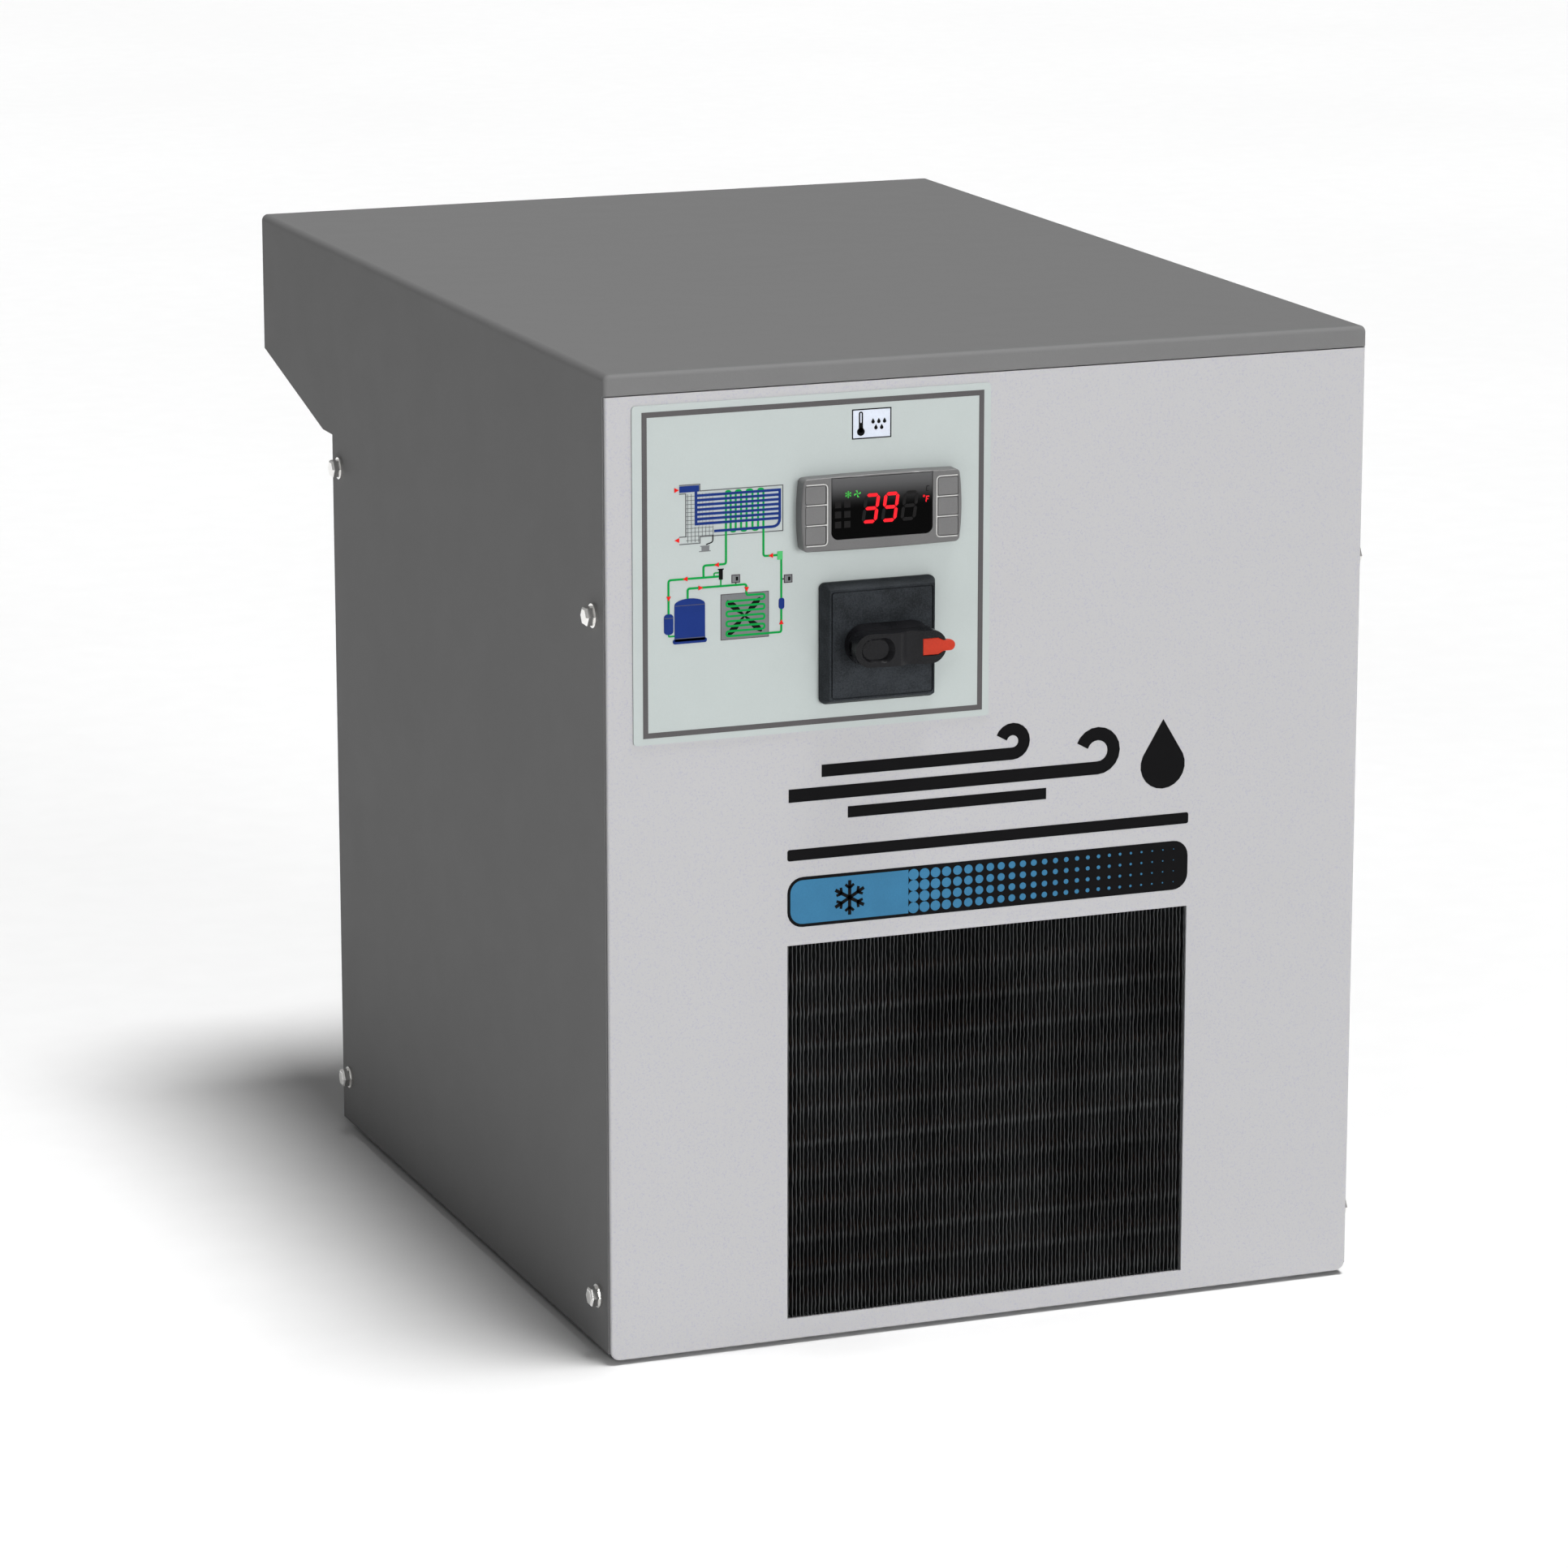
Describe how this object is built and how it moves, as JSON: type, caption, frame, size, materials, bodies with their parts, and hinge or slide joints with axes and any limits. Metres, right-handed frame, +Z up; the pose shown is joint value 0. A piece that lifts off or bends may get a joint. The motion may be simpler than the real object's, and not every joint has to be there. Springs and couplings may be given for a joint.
{
  "type": "refrigerated air dryer",
  "caption": "Compact refrigerated compressed-air dryer: folded steel casing with rear overhang, front condenser, printed control plate, dew point controller and rotary main switch.",
  "frame": {"origin": "on the floor, under the centre of the whole object's box, switch handle and screw heads included", "axes": "+Z up, front control face towards -Y, +X to the right as seen from the front"},
  "size_m": [0.36, 0.516, 0.4295],
  "materials": {
    "hood_paint": "fine textured powder coat, dark grey",
    "panel_paint": "fine textured powder coat, pale grey",
    "zinc_sheet": "galvanised",
    "nickel": "bright plated",
    "black_rubber": "moulded",
    "printed_film": "printed polyester film, satin",
    "bezel_grey": "moulded, satin",
    "key_grey": "moulded, satin",
    "window_black": "polished",
    "display_red": "diffusing",
    "switch_black": "spark-eroded texture",
    "pointer_red": "moulded",
    "fin_black": "black lacquered fins",
    "copper": "drawn copper tube",
    "motor_black": "satin",
    "fan_plastic": "moulded",
    "shell_black": "gloss enamel",
    "brass": "turned",
    "foam": "closed-cell foam jacket",
    "coil_black": "moulded",
    "hose_blue": "extruded tube",
    "capacitor_can": "drawn can",
    "shaft_steel": "ground",
    "terminal_grey": "moulded",
    "gland_black": "moulded",
    "label_silver": "anodised, blank"
  },
  "bodies": {
    "casing": {"hood": "hood_paint", "front_panel": "panel_paint", "rear_panel": "hood_paint", "overhang_panel": "hood_paint", "base_pan": "zinc_sheet", "rubber_feet": "black_rubber", "hood_screws": "nickel", "pan_screws": "shaft_steel", "control_plate": "printed_film", "controller_bezel": "bezel_grey", "controller_window": "window_black", "display_module": "display_red", "controller_body": "coil_black", "switch_base": "switch_black", "switch_body": "terminal_grey", "condenser_fins": "fin_black", "condenser_tubes": "copper", "condenser_plates": "zinc_sheet", "fan_shroud": "zinc_sheet", "fan_motor": "motor_black", "fan_bracket": "zinc_sheet", "compressor_feet": "shell_black", "compressor_grommets": "black_rubber", "compressor_bolts": "shaft_steel", "compressor_shell": "shell_black", "terminal_cover": "coil_black", "suction_accumulator": "copper", "start_capacitor": "capacitor_can", "electrics_tray": "zinc_sheet", "terminal_block": "terminal_grey", "heat_exchanger": "foam", "exchanger_stand": "zinc_sheet", "air_inlet_port": "brass", "air_outlet_port": "brass", "port_nuts": "brass", "drain_valve": "brass", "drain_coil": "coil_black", "drain_hose": "hose_blue", "drain_fitting": "brass", "cable_gland": "gland_black", "rating_plate": "label_silver", "discharge_pipe": "copper", "filter_drier": "copper", "liquid_pipe": "copper", "capillary_coil": "copper", "suction_pipe": "copper", "hot_gas_valve": "brass", "bypass_pipe": "copper", "pressure_switches": "brass"},
    "fan_rotor": {"fan_blade": "fan_plastic", "fan_shaft": "shaft_steel"},
    "switch_lever": {"switch_handle": "switch_black", "switch_pointer": "pointer_red", "switch_shaft": "shaft_steel"},
    "key_1_cap": {"key_1": "key_grey"},
    "key_2_cap": {"key_2": "key_grey"},
    "key_3_cap": {"key_3": "key_grey"},
    "key_4_cap": {"key_4": "key_grey"},
    "key_5_cap": {"key_5": "key_grey"},
    "key_6_cap": {"key_6": "key_grey"}
  },
  "joints": [
    {"name": "fan_spin", "type": "hinge", "parent": "casing", "child": "fan_rotor", "pos_m": [0, -0.1577, 0.0949], "axis": [0, 1, 0], "continuous": true},
    {"name": "switch_turn", "type": "hinge", "parent": "casing", "child": "switch_lever", "pos_m": [-0.0536, -0.244, 0.3093], "axis": [0, -1, 0], "range_deg": [0, 90]},
    {"name": "key_1_press", "type": "slide", "parent": "casing", "child": "key_1_cap", "axis": [0, 1, 0], "range_m": [0, 0.0005], "stiffness_N_per_m": 800},
    {"name": "key_2_press", "type": "slide", "parent": "casing", "child": "key_2_cap", "axis": [0, 1, 0], "range_m": [0, 0.0005], "stiffness_N_per_m": 800},
    {"name": "key_3_press", "type": "slide", "parent": "casing", "child": "key_3_cap", "axis": [0, 1, 0], "range_m": [0, 0.0005], "stiffness_N_per_m": 800},
    {"name": "key_4_press", "type": "slide", "parent": "casing", "child": "key_4_cap", "axis": [0, 1, 0], "range_m": [0, 0.0005], "stiffness_N_per_m": 800},
    {"name": "key_5_press", "type": "slide", "parent": "casing", "child": "key_5_cap", "axis": [0, 1, 0], "range_m": [0, 0.0005], "stiffness_N_per_m": 800},
    {"name": "key_6_press", "type": "slide", "parent": "casing", "child": "key_6_cap", "axis": [0, 1, 0], "range_m": [0, 0.0005], "stiffness_N_per_m": 800}
  ]
}
